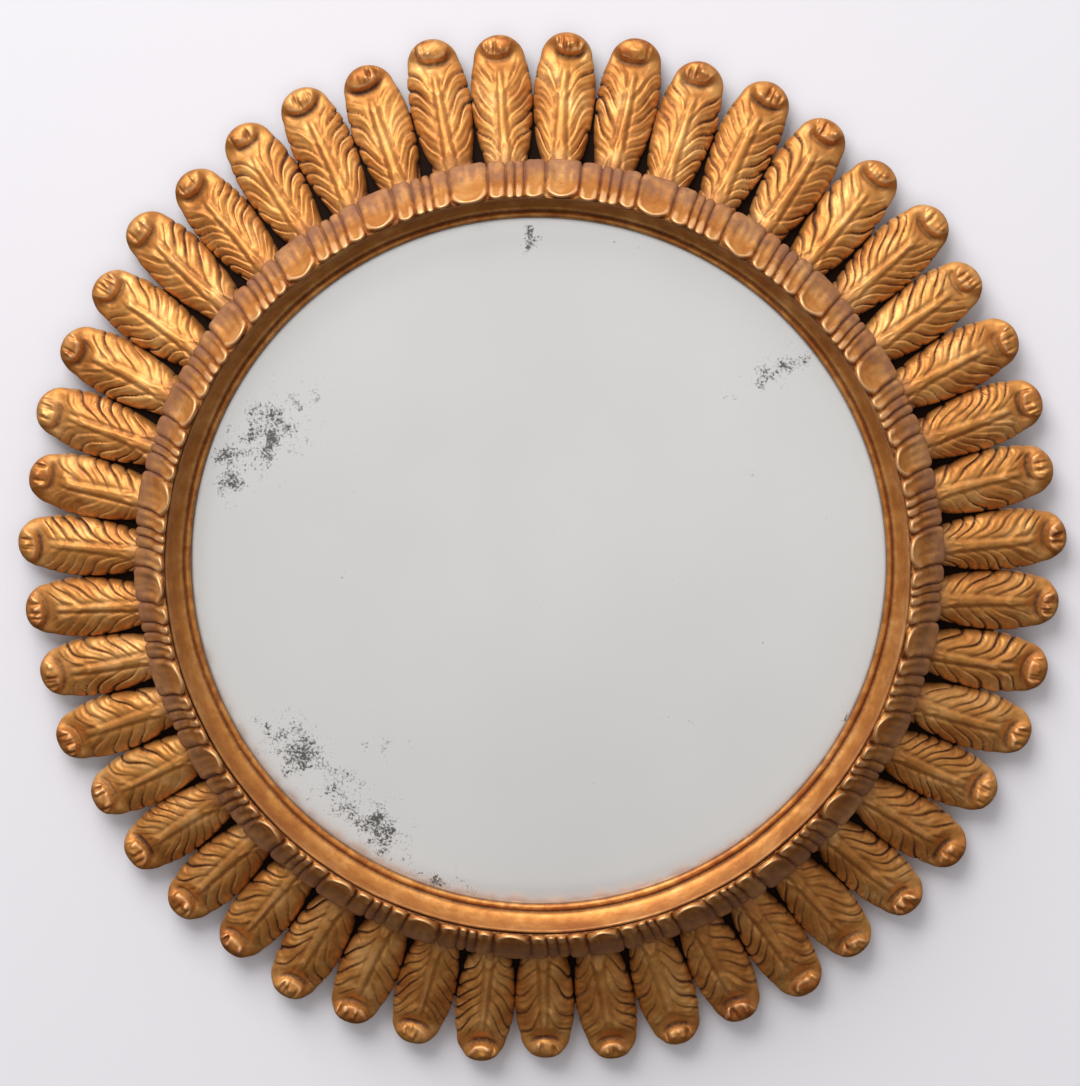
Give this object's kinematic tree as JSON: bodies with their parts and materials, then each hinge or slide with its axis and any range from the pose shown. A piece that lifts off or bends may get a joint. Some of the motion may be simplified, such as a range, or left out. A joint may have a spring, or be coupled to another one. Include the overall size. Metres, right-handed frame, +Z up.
{
  "type": "convex mirror",
  "caption": "Round convex wall mirror in a gilt frame: a ring of carved leaves with rolled tips, a gadrooned band, a cove moulding and a domed glass.",
  "frame": {"origin": "centre of the round entry hole of the keyhole plate, on the wall plane", "axes": "+Z up, -Y out of the wall towards the viewer, +X to the viewer's right"},
  "size_m": [0.806, 0.093, 0.8011],
  "materials": {
    "gilt_wood": "carved softwood, water gilt over a red-brown ground, worn and toned",
    "stained_wood": "softwood, dark brown stain",
    "softwood": "bare softwood",
    "board_wood": "thin board, aged",
    "mirror_glass": "silvered domed glass, foxed in places",
    "steel": "dull zinc-plated steel",
    "brass": "dull aged brass"
  },
  "bodies": {
    "frame": {"back_ring": "stained_wood", "core_ring": "stained_wood", "gadroon_band": "gilt_wood", "sight_moulding": "gilt_wood", "convex_glass": "mirror_glass", "glazing_blocks": "softwood", "backboard": "board_wood", "keyhole_plate": "steel", "pivot_screws": "steel", "leaf_01": "gilt_wood", "leaf_02": "gilt_wood", "leaf_03": "gilt_wood", "leaf_04": "gilt_wood", "leaf_05": "gilt_wood", "leaf_06": "gilt_wood", "leaf_07": "gilt_wood", "leaf_08": "gilt_wood", "leaf_09": "gilt_wood", "leaf_10": "gilt_wood", "leaf_11": "gilt_wood", "leaf_12": "gilt_wood", "leaf_13": "gilt_wood", "leaf_14": "gilt_wood", "leaf_15": "gilt_wood", "leaf_16": "gilt_wood", "leaf_17": "gilt_wood", "leaf_18": "gilt_wood", "leaf_19": "gilt_wood", "leaf_20": "gilt_wood", "leaf_21": "gilt_wood", "leaf_22": "gilt_wood", "leaf_23": "gilt_wood", "leaf_24": "gilt_wood", "leaf_25": "gilt_wood", "leaf_26": "gilt_wood", "leaf_27": "gilt_wood", "leaf_28": "gilt_wood", "leaf_29": "gilt_wood", "leaf_30": "gilt_wood", "leaf_31": "gilt_wood", "leaf_32": "gilt_wood", "leaf_33": "gilt_wood", "leaf_34": "gilt_wood", "leaf_35": "gilt_wood", "leaf_36": "gilt_wood", "leaf_37": "gilt_wood", "leaf_38": "gilt_wood", "leaf_39": "gilt_wood", "leaf_40": "gilt_wood", "leaf_41": "gilt_wood", "leaf_42": "gilt_wood", "leaf_43": "gilt_wood", "leaf_44": "gilt_wood", "leaf_45": "gilt_wood", "leaf_46": "gilt_wood", "leaf_47": "gilt_wood"},
    "turn_button_1": {"turn_button_1": "brass"},
    "turn_button_2": {"turn_button_2": "brass"},
    "turn_button_3": {"turn_button_3": "brass"},
    "turn_button_4": {"turn_button_4": "brass"}
  },
  "joints": [
    {"name": "turn_button_1_pivot", "type": "hinge", "parent": "frame", "child": "turn_button_1", "pos_m": [0.21072, -0.0049, -0.11628], "axis": [0, 1, 0], "range_deg": [-90, 90]},
    {"name": "turn_button_2_pivot", "type": "hinge", "parent": "frame", "child": "turn_button_2", "pos_m": [0.21072, -0.0049, -0.53772], "axis": [0, 1, 0], "range_deg": [-90, 90]},
    {"name": "turn_button_3_pivot", "type": "hinge", "parent": "frame", "child": "turn_button_3", "pos_m": [-0.21072, -0.0049, -0.53772], "axis": [0, 1, 0], "range_deg": [-90, 90]},
    {"name": "turn_button_4_pivot", "type": "hinge", "parent": "frame", "child": "turn_button_4", "pos_m": [-0.21072, -0.0049, -0.11628], "axis": [0, 1, 0], "range_deg": [-90, 90]}
  ]
}
